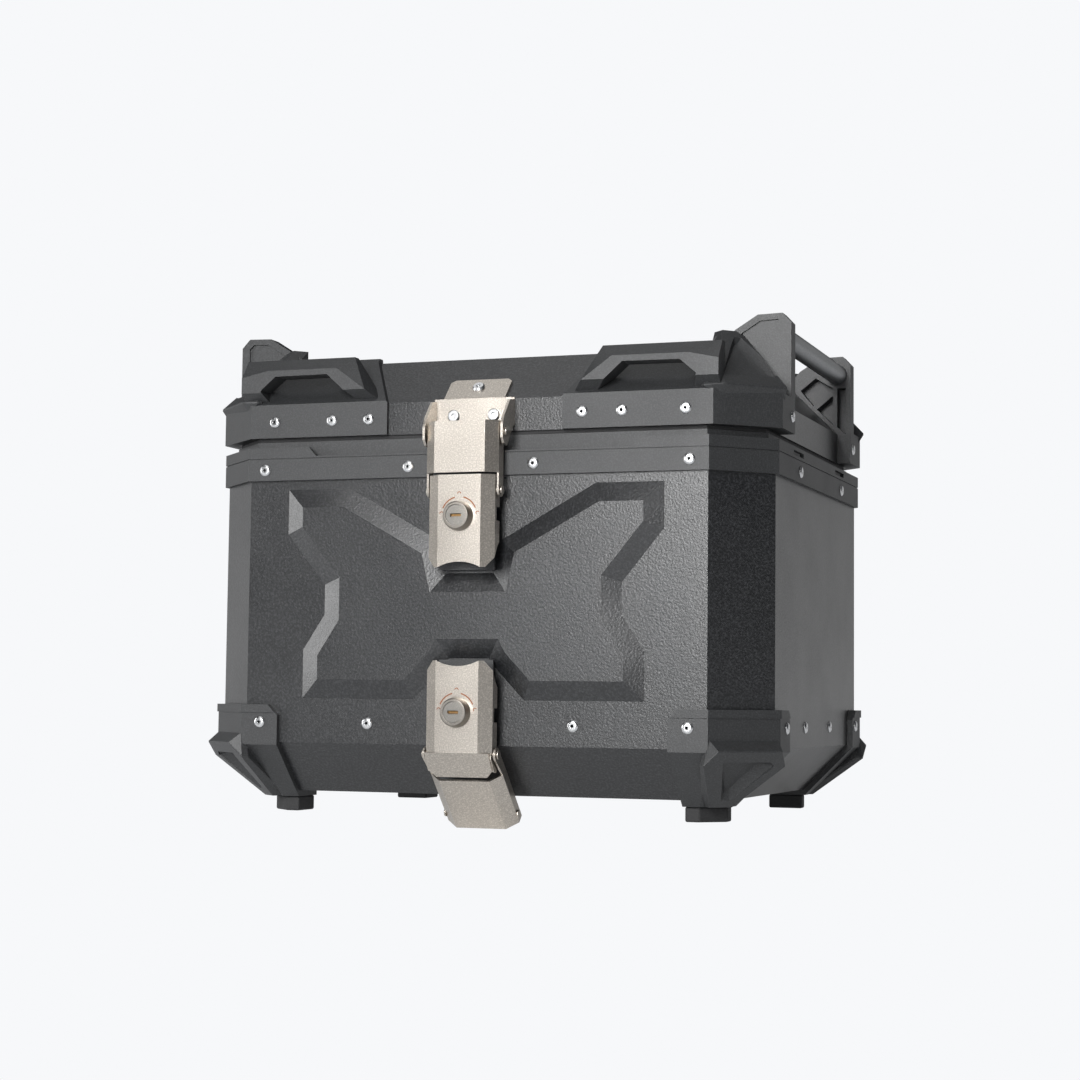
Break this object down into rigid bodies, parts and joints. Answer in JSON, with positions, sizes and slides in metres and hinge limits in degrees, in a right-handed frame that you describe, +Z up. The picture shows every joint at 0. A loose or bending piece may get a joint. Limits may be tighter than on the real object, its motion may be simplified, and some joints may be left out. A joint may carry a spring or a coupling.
{
  "type": "motorcycle top case",
  "caption": "Motorcycle top case of black coated sheet aluminium with plastic corner guards, rear-hinged lid, side rails and two keyed draw latches on the front",
  "frame": {"origin": "on the lowest point's level, below the middle of the whole case in plan", "axes": "+X to the right as seen from ahead, -Y out of the latched front, +Z up"},
  "size_m": [0.4522, 0.399, 0.378],
  "materials": {
    "coated_sheet": "fine textured black powder coat on aluminium sheet",
    "guard_plastic": "fine-grained black glass-filled nylon",
    "latch_metal": "bead-blasted stainless sheet",
    "rail_metal": "satin anodised tube",
    "fastener_metal": "bright zinc and stainless fasteners",
    "hinge_metal": "black coated steel",
    "lock_metal": "turned and nickel plated lock cylinder",
    "soft_rubber": "soft matt black rubber"
  },
  "bodies": {
    "case": {"front_panel": "coated_sheet", "rear_panel": "coated_sheet", "side_panel_right": "coated_sheet", "side_panel_left": "coated_sheet", "floor_pan": "coated_sheet", "rim_frame": "guard_plastic", "guard_front_right": "guard_plastic", "guard_front_left": "guard_plastic", "guard_rear_right": "guard_plastic", "guard_rear_left": "guard_plastic", "feet": "soft_rubber", "mount_hooks": "hinge_metal", "rim_rivets": "fastener_metal", "floor_rivets": "fastener_metal", "guard_rivets": "fastener_metal", "latch_base_upper": "guard_plastic", "latch_base_lower": "guard_plastic", "lever_pin_upper": "latch_metal", "lever_pin_lower": "latch_metal", "latch_rivets": "fastener_metal", "hinge_leaf_body_right": "hinge_metal", "hinge_leaf_body_left": "hinge_metal", "hinge_pin_right": "hinge_metal", "hinge_pin_left": "hinge_metal", "hinge_rivets_body": "fastener_metal"},
    "lid": {"lid_shell": "coated_sheet", "lid_frame": "guard_plastic", "lid_gasket": "soft_rubber", "lid_guard_front_right": "guard_plastic", "lid_guard_front_left": "guard_plastic", "lid_guard_rear_right": "guard_plastic", "lid_guard_rear_left": "guard_plastic", "rail_right": "rail_metal", "rail_left": "rail_metal", "lid_guard_rivets": "fastener_metal", "strike_plate": "latch_metal", "strike_screws": "fastener_metal", "strike_pivots": "latch_metal", "hinge_leaf_lid_right": "hinge_metal", "hinge_leaf_lid_left": "hinge_metal", "hinge_rivets_lid": "fastener_metal"},
    "upper_lever": {"lever_upper": "latch_metal", "lock_body_upper": "latch_metal", "link_pin_upper": "latch_metal"},
    "upper_lock": {"lock_plug_upper": "lock_metal", "lock_cam_upper": "latch_metal"},
    "upper_link": {"link_upper": "latch_metal", "hook_pin_upper": "latch_metal"},
    "lower_lever": {"lever_lower": "latch_metal", "lock_body_lower": "latch_metal", "link_pin_lower": "latch_metal"},
    "lower_lock": {"lock_plug_lower": "lock_metal", "lock_cam_lower": "latch_metal"},
    "lower_link": {"link_lower": "latch_metal", "hook_pin_lower": "latch_metal"}
  },
  "joints": [
    {"name": "lid_hinge", "type": "hinge", "parent": "case", "child": "lid", "pos_m": [0, 0.195, 0.281], "axis": [-1, 0, 0], "range_deg": [0, 100]},
    {"name": "upper_lever_hinge", "type": "hinge", "parent": "case", "child": "upper_lever", "pos_m": [0, -0.183, 0.253], "axis": [-1, 0, 0], "range_deg": [0, 80]},
    {"name": "upper_link_hinge", "type": "hinge", "parent": "upper_lever", "child": "upper_link", "pos_m": [0, -0.181, 0.245], "axis": [-1, 0, 0], "range_deg": [-72, 0]},
    {"name": "upper_key", "type": "hinge", "parent": "upper_lever", "child": "upper_lock", "pos_m": [0, -0.189, 0.226], "axis": [0, -1, 0], "range_deg": [-90, 0]},
    {"name": "lower_lever_hinge", "type": "hinge", "parent": "case", "child": "lower_lever", "pos_m": [0, -0.1785, 0.047], "axis": [1, 0, 0], "range_deg": [0, 110]},
    {"name": "lower_link_hinge", "type": "hinge", "parent": "lower_lever", "child": "lower_link", "pos_m": [0, -0.182, 0.055], "axis": [1, 0, 0], "range_deg": [-154, 0]},
    {"name": "lower_key", "type": "hinge", "parent": "lower_lever", "child": "lower_lock", "pos_m": [0, -0.189, 0.085], "axis": [0, -1, 0], "range_deg": [0, 90]}
  ],
  "couplings": [
    {"joint": "upper_link_hinge", "follows": "upper_lever_hinge", "ratio": -0.9},
    {"joint": "lower_link_hinge", "follows": "lower_lever_hinge", "ratio": -1.4}
  ]
}
